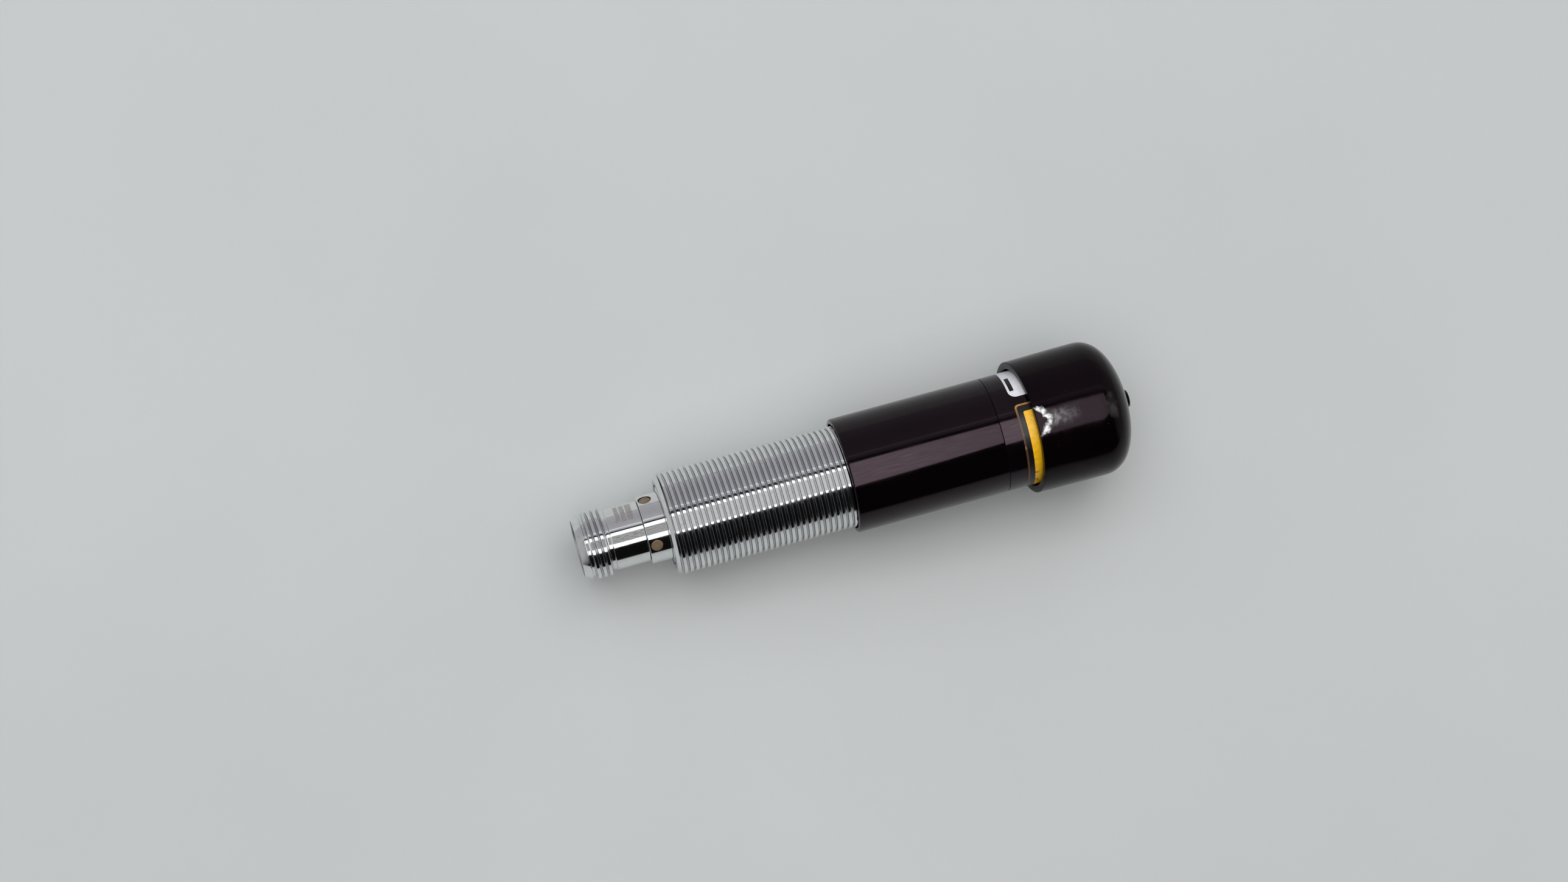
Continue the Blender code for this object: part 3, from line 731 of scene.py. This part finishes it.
def contact_carrier():
    """The moulded insert in the plug: a cup with its coding rib, and the floor round the pins."""
    cavity, floor, base, groove, seal = 3.9, 7.2, 3.95, 0.65, 9.0
    outline = softened([
        (CARRIER_START, cavity, 0.10),
        (CARRIER_START, CARRIER_RADIUS, 0.10),
        (6.4, CARRIER_RADIUS),
        (6.9, base),
        (seal - groove, base),
        (seal - groove, base - 0.85),
        (seal + groove, base - 0.85),
        (seal + groove, base),
        (CARRIER_END, base),
        (CARRIER_END, 0),
        (floor, 0),
        (floor, cavity, 0.15),
    ])
    carrier = finish_mesh("contact_carrier_moulded", turned_bmesh(outline))
    rib = rod_bmesh(on_circle(1.5, cavity, 45), on_circle(floor - 0.4, cavity, 45), 0.45, 28)
    combine(carrier, [finish_mesh("coding_rib", rib)], "UNION")
    holes = []
    for degrees in PIN_ANGLES:
        start = on_circle(floor - 1, PIN_CIRCLE, degrees)
        end = on_circle(CARRIER_END + 1, PIN_CIRCLE, degrees)
        holes.append(finish_mesh("pin_cutter", rod_bmesh(start, end, 0.6, 28)))
    combine(carrier, holes, "DIFFERENCE")
    carrier.data.set_sharp_from_angle(angle=SHARP_ANGLE)
    return piece(carrier, "insert_plastic", "sensor", "contact_carrier")


def contact_pins():
    """Four gold-plated pins with rounded tips and thin solder tails."""
    for number in range(1, len(PIN_ANGLES) + 1):
        node_name = f"contact_pin_{number}"
        low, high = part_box(node_name)
        first, last, _ = span(node_name)
        centre = (low + high) / 2
        radius = (high.z - low.z) / 2 / MM
        outline = softened([
            (first, 0.0),
            (first, radius * 0.62, 0.14),
            (first + 0.5, radius, 0.25),
            (CARRIER_END + 0.2, radius, 0.05),
            (CARRIER_END + 0.2, 0.25),
            (last, 0.25, 0.08),
            (last, 0.0),
        ])
        bm = turned_bmesh(outline, 32)
        bmesh.ops.translate(bm, verts=bm.verts, vec=(0, centre.y, centre.z))
        piece(finish_mesh(f"contact_pin_{number}_gold", bm), "gold_plate", "sensor", node_name)


# Three plain etched blocks on the neck, as stations
ETCHED = [(7.3, 8.0), (8.25, 9.05), (9.3, 10.3)]


def etched_blocks():
    def colour(tree):
        patches = remap(tree, speckle(tree, 2600, 4.0), 0.0, 1.0)
        return blended(tree, patches, (0.46, 0.44, 0.42), (0.62, 0.60, 0.58))

    def roughness(tree):
        return remap(tree, speckle(tree, 3000, 4.0), 0.30, 0.50)

    def normal(tree):
        return bumped(tree, speckle(tree, 9000, 3.0), 0.002)

    etched = material("etched_plate", colour, roughness, normal, metallic=1.0)
    for number, stations in enumerate(ETCHED, 1):
        obj = film(f"etched_block_{number}", NECK_RADIUS, LAYER, stations, (26, 71), 0.08)
        piece(obj, "nickel_plate", "sensor")
        obj.data.materials[0] = etched


# The barrel

BARREL_ROOT = 8.35
BARREL_BORE = 7.0
BARREL_THREAD_START, BARREL_THREAD_END = 15.97, 47.1
SPIGOT_RADIUS = 8.3
SLEEVE_SEAL_STATION = 54.0


def threaded_barrel():
    """The M18 x 1 barrel with its chamfered front collar and the plain spigot inside the head."""
    groove = 0.8
    before = softened([
        (BARREL_START, BARREL_BORE),
        (BARREL_START, BARREL_ROOT - 0.2, 0.05),
        (BARREL_THREAD_START - 0.10, BARREL_RADIUS - 0.08, 0.04),
        (BARREL_THREAD_START - 0.02, BARREL_ROOT, 0.03),
    ])
    after = softened([
        (BARREL_THREAD_END + 0.3, SPIGOT_RADIUS),
        (SLEEVE_SEAL_STATION - groove, SPIGOT_RADIUS),
        (SLEEVE_SEAL_STATION - groove, SPIGOT_RADIUS - SEAL_DEPTH),
        (SLEEVE_SEAL_STATION + groove, SPIGOT_RADIUS - SEAL_DEPTH),
        (SLEEVE_SEAL_STATION + groove, SPIGOT_RADIUS),
        (BARREL_END, SPIGOT_RADIUS),
        (BARREL_END, BARREL_BORE),
    ])
    bm = threaded_bmesh(
        before, after, BARREL_THREAD_START, BARREL_THREAD_END, BARREL_RADIUS, BARREL_ROOT,
    )
    barrel = finish_mesh("threaded_barrel_plated", bm)
    return piece(barrel, "nickel_plate", "sensor", "threaded_barrel")


# The head

HEAD_BORE = 8.6


def head_sleeve():
    """The black sleeve over the barrel's end, stepped down where the label wraps round it."""
    step = SLEEVE_RADIUS - 0.45
    outline = softened([
        (SLEEVE_START, BARREL_RADIUS + 0.3),
        (SLEEVE_START, SLEEVE_RADIUS, 1.0),
        (BAND_START - 0.1, SLEEVE_RADIUS, 0.05),
        (BAND_START - 0.1, step),
        (SLEEVE_END, step, 0.4),
        (SLEEVE_END, HEAD_BORE),
        (BARREL_THREAD_END + 0.85, HEAD_BORE),
        (BARREL_THREAD_END + 0.45, BARREL_RADIUS + 0.3),
    ])
    sleeve = finish_mesh("head_sleeve_moulded", turned_bmesh(outline))
    return piece(sleeve, "head_plastic", "sensor", "head_sleeve")


def label_band():
    outline = softened([
        (BAND_START, BAND_RADIUS - 0.13),
        (BAND_START, BAND_RADIUS, 0.03),
        (BAND_END, BAND_RADIUS, 0.03),
        (BAND_END, BAND_RADIUS - 0.13),
    ])
    band = finish_mesh("label_band_film", turned_bmesh(outline))
    return piece(band, "label_film", "sensor", "label_band")


def sheet_edge(sheet):
    """The vertices round the edge of a sheet of rows, in order."""
    edge = sheet[0] + [line[-1] for line in sheet[1:]]
    return edge + sheet[-1][-2::-1] + [line[0] for line in sheet[-2:0:-1]]


def film(name, radius, proud, stations, angles, corner):
    """A thin layer on a turned surface: a rounded rectangle between two stations and two angles."""
    first, last = stations
    low, high = angles
    ease = [corner * (1 - math.cos(math.radians(90) * k / 8)) for k in range(9)]
    columns = [first + e for e in ease] + [last - e for e in reversed(ease)]
    count = max(4, round((high - low) / 2.5))
    bm = bmesh.new()
    sheets = []
    for level in (radius + proud, radius - 0.02):
        sheet = []
        for station in columns:
            depth = min(station - first, last - station, corner)
            inset = math.degrees((corner - math.sqrt(corner ** 2 - (corner - depth) ** 2)) / radius)
            reach = high - low - 2 * inset
            sheet.append([
                bm.verts.new(on_circle(station, level, low + inset + reach * k / count))
                for k in range(count + 1)
            ])
        sheets.append(sheet)
    top, under = sheets
    for sheet in sheets:
        for one, two in zip(sheet, sheet[1:]):
            for k in range(count):
                bm.faces.new((one[k], one[k + 1], two[k + 1], two[k]))
    join_rings(bm, sheet_edge(top), sheet_edge(under))
    return finish_mesh(name, bm)


# The label's printed fields, as (name, layer, stations after the seam, angles, corner, ink): a light
# field with a dark slot, and an amber frame round a yellow field. They run on under the cap.
FIELDS = [
    ("label_light_field", 1, (3.05, 14.6), (31.6, 112), 1.3, "light_ink"),
    ("label_dark_slot", 2, (3.45, 4.2), (39.5, 60), 0.12, "dark_ink"),
    ("label_amber_frame", 1, (3.17, 14.6), (-122, 22.8), 0.7, "amber_ink"),
    ("label_dark_field", 2, (3.5, 14.25), (-120, 20.9), 0.45, "dark_ink"),
    ("label_yellow_field", 3, (4.4, 13.6), (-116, 14.5), 0.25, "yellow_ink"),
]
LAYER = 0.006  # how far each layer of print stands out, in millimetres
# The inks: two colours, and for the worn ones the wear and the -Y darkening that print_ink takes
INKS = {
    "light_ink": ((0.47, 0.47, 0.50), (0.55, 0.55, 0.58)),
    "dark_ink": ((0.0035, 0.0022, 0.0030), (0.006, 0.004, 0.005)),
    "amber_ink": ((0.25, 0.12, 0.026), (0.34, 0.17, 0.045), 0.16, (1.5, 4.4, 0.30)),
    "yellow_ink": ((0.52, 0.27, 0.003), (0.63, 0.35, 0.008), 0.08, (-6.5, -4.0, 0.06)),
}


def label_print():
    inks = {name: print_ink(name, *values) for name, values in INKS.items()}
    for name, layer, (first, last), angles, corner, ink in FIELDS:
        stations = (BAND_START + first, BAND_START + last)
        obj = film(name, BAND_RADIUS, layer * LAYER, stations, angles, corner)
        piece(obj, "label_film", "sensor")
        obj.data.materials[0] = inks[ink]


def sensing_face():
    """The thin-walled front cup that closes the head, with a faint step round its flat face."""
    skirt = FACE_RADIUS
    outline = softened([
        (FACE_START, skirt - 0.7),
        (FACE_START, skirt),
        (FACE_END, skirt, 0.25),
        (FACE_END, skirt - 1.2, 0.05),
        (FACE_END - 0.08, skirt - 1.25, 0.05),
        (FACE_END - 0.08, 0),
        (FACE_END - 1.1, 0),
        (FACE_END - 1.1, skirt - 0.7),
    ])
    face = finish_mesh("sensing_face_moulded", turned_bmesh(outline))
    return piece(face, "head_plastic", "sensor", "sensing_face")


# The end cap

MOUTH = 78.7
MOUTH_SLOPE = math.tan(math.radians(4.35))
MOUTH_BLEND = 6.0
CAP_MOUTH_RADIUS = 11.62
CAP_BORE = 10.3
CAP_SHOULDER = 90.9
CAP_END = 97.35
CAP_WALL = 1.3
DOME_POWER = 2.3
SIDE_ROWS, SIDE_STEP = 20, 0.6  # rings along the side wall, which end before the shoulder
FLARE_ROWS = 14  # the rings over which the wall widens from the mouth
CAP_UNEVENNESS = 0.05


def dome(length, radius, steps, last):
    """Points of a superellipse from the side wall round to the fraction `last` of the way in."""
    points = []
    for k in range(steps + 1):
        angle = math.radians(90) * last * k / steps
        along_part = math.sin(angle) ** (2 / DOME_POWER)
        across_part = math.cos(angle) ** (2 / DOME_POWER)
        points.append((CAP_SHOULDER + length * along_part, radius * across_part))
    return points


def cap_shape(station, radius, degrees):
    """Trims the mouth off square and gives the soft wall its slight unevenness."""
    weight = min(1.0, max(0.0, 1.0 - (station - MOUTH) / MOUTH_BLEND))
    moved = station + MOUTH_SLOPE * radius * math.cos(math.radians(degrees)) * weight
    if radius > CAP_BORE + 0.5:
        wobble = noise.noise(on_circle(station, radius, degrees) / (5 * MM))
        radius -= CAP_UNEVENNESS * (0.5 + 0.5 * wobble)
    return moved, radius


def end_cap():
    rim = 0.35
    outer = dome(CAP_END - CAP_SHOULDER, CAP_OUTER_RADIUS, 26, 0.94)
    inner = dome(CAP_END - CAP_WALL - CAP_SHOULDER, CAP_OUTER_RADIUS - CAP_WALL, 12, 0.9)
    flare = CAP_OUTER_RADIUS - CAP_MOUTH_RADIUS
    side = [
        (MOUTH + 0.4 + k * SIDE_STEP, CAP_MOUTH_RADIUS + flare * min(1, k / FLARE_ROWS))
        for k in range(SIDE_ROWS)
    ]
    outline = softened([
        (MOUTH, CAP_BORE, rim),
        (MOUTH, CAP_MOUTH_RADIUS, rim),
        *side,
        *outer,
        (CAP_END, 1.75, 0.1),
        (LENGTH, 1.5, 0.35),
        (LENGTH, 0),
        (CAP_END - CAP_WALL, 0),
        *reversed(inner),
        (MOUTH + MOUTH_BLEND, CAP_BORE),
    ])
    cap = finish_mesh("end_cap_vinyl", turned_bmesh(outline, 128, cap_shape))
    return piece(cap, "cap_vinyl", "cap", "end_cap")


connector_shell()
led_collar()
light_ring()
contact_carrier()
contact_pins()
threaded_barrel()
head_sleeve()
label_band()
label_print()
etched_blocks()
sensing_face()
end_cap()

for name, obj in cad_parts.items():
    if not obj.hide_render:
        for position, held in enumerate(obj.material_slots):
            slot_name = held.material.name.split(".")[0]
            if slot_name in MATERIALS:
                held.material = MATERIALS[slot_name]


# Floor, light and camera

FLOOR_TILT = math.radians(2.17)  # the sensor rests on the barrel's first crest and on the cap


def floor():
    """A large pale sheet that touches the barrel's first crest and the cap."""
    bm = bmesh.new()
    bmesh.ops.create_grid(bm, x_segments=8, y_segments=8, size=1.5)
    sheet = finish_mesh("floor", bm)
    touch = Vector((along(BARREL_THREAD_START + 0.5), 0, -BARREL_RADIUS * MM))
    sheet.matrix_world = Matrix.Translation(touch) @ Matrix.Rotation(FLOOR_TILT, 4, "Y")

    def colour(tree):
        cloud = remap(tree, speckle(tree, 9, 3.0), 0.0, 1.0)
        return blended(tree, cloud, (0.64, 0.665, 0.655), (0.68, 0.705, 0.695))

    def roughness(tree):
        return remap(tree, speckle(tree, 60, 3.0), 0.55, 0.70)

    def normal(tree):
        return bumped(tree, speckle(tree, 700, 3.0), 0.01)

    sheet.data.materials.append(material("floor_sheet", colour, roughness, normal))
    return sheet


FLOOR = floor()

# How bright the room is round the sensor's axis, as (degrees from +Z towards +Y, radiance)
ROOM = [
    (-180, 0.45), (-90, 0.45), (-88, 0.004), (-30, 0.004), (-28, 0.02),
    (20.5, 0.02), (21.5, 0.02), (25.5, 0.02), (26.5, 0.45), (32.0, 0.48), (32.5, 0.95),
    (34.5, 0.95), (35.0, 0.42), (60, 0.36), (90, 0.42), (180, 0.50),
]
BACKDROP = (0.62, 0.64, 0.63)
END_WALLS = 0.42  # radiance of the walls beyond either end of the sensor


def room():
    """A world as bright as ROOM says round the axis; the camera itself sees plain grey."""
    world = bpy.data.worlds.new("studio")
    bpy.context.scene.world = world
    world.use_nodes = True
    tree = world.node_tree
    tree.nodes.clear()
    place = node(tree, "ShaderNodeTexCoord").outputs["Generated"]
    parts = node(tree, "ShaderNodeSeparateXYZ", {0: place}).outputs
    turn = calc(tree, "ARCTAN2", parts["Y"], parts["Z"])
    share = remap(tree, turn, 0.0, 1.0, -math.pi, math.pi)
    ramp = node(tree, "ShaderNodeValToRGB", {"Fac": share})
    stops = ramp.color_ramp.elements
    for number, (degrees, level) in enumerate(ROOM):
        position = (degrees + 180) / 360
        stop = stops[number] if number < len(stops) else stops.new(position)
        stop.position = position
        stop.color = (level, level * 1.005, level * 1.01, 1.0)
    end_on = remap(tree, calc(tree, "ABSOLUTE", parts["X"]), 0.0, 1.0, 0.64, 0.80)
    walls = blended(tree, end_on, ramp.outputs["Color"], (END_WALLS, END_WALLS, END_WALLS))
    cloud = node(tree, "ShaderNodeTexNoise", {"Vector": place, "Scale": 5.0, "Detail": 3.0})
    tint = blended(tree, cloud.outputs["Fac"], (0.90, 0.95, 1.02), (1.10, 1.03, 1.06))
    tinted = node(tree, "ShaderNodeMix", {
        0: 1.0, 6: walls, 7: tint,
    }, data_type="RGBA", blend_type="MULTIPLY")
    seen = node(tree, "ShaderNodeLightPath").outputs["Is Camera Ray"]
    colour = blended(tree, seen, tinted.outputs[2], BACKDROP)
    shade = node(tree, "ShaderNodeBackground", {"Color": colour})
    out = node(tree, "ShaderNodeOutputWorld")
    tree.links.new(shade.outputs[0], out.inputs["Surface"])


room()


def lamp(name, height, corners, emission, receivers, link_state):
    """A flat lamp overhead, seen only in reflections.

    Its corners are (x, degrees round the axis). It is transparent as well, so that it doesn't
    hide the next lamp from the pieces it doesn't light.
    """
    bm = bmesh.new()
    points = [
        bm.verts.new((x, height * math.tan(math.radians(degrees)), height))
        for x, degrees in corners
    ]
    bm.faces.new(points)
    obj = finish_mesh(name, bm)
    made = bpy.data.materials.new(name)
    made.use_nodes = True
    tree = made.node_tree
    tree.nodes.clear()
    strength = emission(tree)
    glow = node(tree, "ShaderNodeEmission", {"Strength": strength})
    clear = node(tree, "ShaderNodeBsdfTransparent")
    both = node(tree, "ShaderNodeAddShader", {0: glow.outputs[0], 1: clear.outputs[0]})
    out = node(tree, "ShaderNodeOutputMaterial")
    tree.links.new(both.outputs[0], out.inputs["Surface"])
    obj.data.materials.append(made)
    obj.visible_camera = False
    obj.visible_shadow = False
    group = bpy.data.collections.new(name + "_receivers")
    for receiver in receivers:
        group.objects.link(receiver)
    for held in group.collection_objects:
        held.light_linking.link_state = link_state
    obj.light_linking.receiver_collection = group
    return obj


PLATED = [
    bpy.data.objects[name]
    for name in ("connector_shell_plated", "led_collar_plated", "threaded_barrel_plated")
]


def soft_glow(tree):
    place = node(tree, "ShaderNodeTexCoord").outputs["Object"]
    cloud = node(tree, "ShaderNodeTexNoise", {"Vector": place, "Scale": 45.0, "Detail": 5.0})
    ahead = node(tree, "ShaderNodeSeparateXYZ", {0: place}).outputs["X"]
    fall = remap(tree, ahead, 1.15, 0.8, 0.05, 0.30)
    return product(tree, remap(tree, cloud.outputs["Fac"], 1.7, 4.9), fall)


EDGE_GLOW = 1.5  # radiance of the bright edges


def edged_glow(outer, inner, length, glow):
    """For lamp(): dim and mottled in the middle and bright towards all four sides.

    `outer` and `inner` are the degrees round the axis of the lamp and of its dim middle, low first,
    `length` is the share of the lamp's length that is dim, and `glow` the middle's radiance range.
    """
    low, high, dim_low, dim_high = (math.tan(math.radians(a)) for a in (*outer, *inner))
    centre = ((dim_low + dim_high) / 2 - low) / (high - low)
    reach = (dim_high - dim_low) / 2 / (high - low)

    def emission(tree):
        place = node(tree, "ShaderNodeTexCoord").outputs["Generated"]
        parts = node(tree, "ShaderNodeSeparateXYZ", {0: place}).outputs
        inset = []
        for axis, middle, half in (("X", 0.5, length / 2), ("Y", centre, reach)):
            away = calc(tree, "ABSOLUTE", calc(tree, "SUBTRACT", parts[axis], middle))
            inset.append(remap(tree, away, 0.0, 1.0, half, half + 0.02))
        border = calc(tree, "MAXIMUM", *inset)
        cloud = node(tree, "ShaderNodeTexNoise", {"Vector": place, "Scale": 70.0, "Detail": 5.0})
        middle = remap(tree, cloud.outputs["Fac"], *glow, 0.42, 0.58)
        return node(tree, "ShaderNodeMix", {0: border, 2: middle, 3: EDGE_GLOW}).outputs[0]

    return emission


OTHERS_LAMP = [(-0.25, 19.5), (0.42, 19.0), (0.42, -14), (0.12, -24), (-0.25, -30)]
lamp("overhead_lamp", 0.60, OTHERS_LAMP, soft_glow, [*PLATED, FLOOR], "EXCLUDE")
for name, height, receivers, outer, inner, glow in (
    ("connector_lamp", 0.61, PLATED[:2], (-35, 20.5), (-19.5, 8.5), (0.08, 0.62)),
    ("barrel_lamp", 0.62, PLATED[2:], (-26, 19.5), (-20.5, 13), (0.30, 0.95)),
):
    low, high = outer
    corners = [(-0.66, high), (0.80, high), (0.80, low), (-0.66, low)]
    lamp(name, height, corners, edged_glow(outer, inner, 0.46, glow), receivers, "INCLUDE")


# Large soft lights that aren't seen in reflections, as (name, place, width, depth, watts). The one
# from the +Y side throws the faint contact shadow the other way.
SOFT_LIGHTS = [
    ("top_light", (0.0, 0.0, 1.1), 1.8, 1.8, 10.5),
    ("side_light", (0.03, 0.45, 0.70), 1.2, 0.8, 2.4),
]


def soft_lights():
    for name, place, width, depth, watts in SOFT_LIGHTS:
        data = bpy.data.lights.new(name, "AREA")
        data.shape = "RECTANGLE"
        data.size, data.size_y = width, depth
        data.energy = watts
        obj = bpy.data.objects.new(name, data)
        bpy.context.scene.collection.objects.link(obj)
        turn = Vector(place).to_track_quat("Z", "Y").to_matrix().to_4x4()
        obj.matrix_world = Matrix.Translation(place) @ turn
        obj.visible_glossy = False


soft_lights()

CAMERA_DISTANCE = 0.5235
CAMERA_AIM = Vector((along(38.72), 0.00841, 0.0))
CAMERA_LEAN = (-0.1153, -0.0158)  # sideways parts of the direction to the camera, for each metre up
CAMERA_ROLL = math.radians(15.11)
LENS = 70.52


def camera():
    back = Vector((*CAMERA_LEAN, 1.0)).normalized()
    level = Vector((math.cos(CAMERA_ROLL), -math.sin(CAMERA_ROLL), 0.0))
    right = (level - back * level.dot(back)).normalized()
    up = back.cross(right)
    data = bpy.data.cameras.new("camera")
    data.lens = LENS
    data.sensor_width = 36.0
    data.clip_start = 0.01
    obj = bpy.data.objects.new("camera", data)
    bpy.context.scene.collection.objects.link(obj)
    turn = Matrix((right, up, back)).transposed().to_4x4()
    obj.matrix_world = Matrix.Translation(CAMERA_AIM + back * CAMERA_DISTANCE) @ turn
    bpy.context.scene.camera = obj


camera()
bpy.context.scene.view_settings.view_transform = "Standard"
bpy.context.scene.view_settings.look = "None"
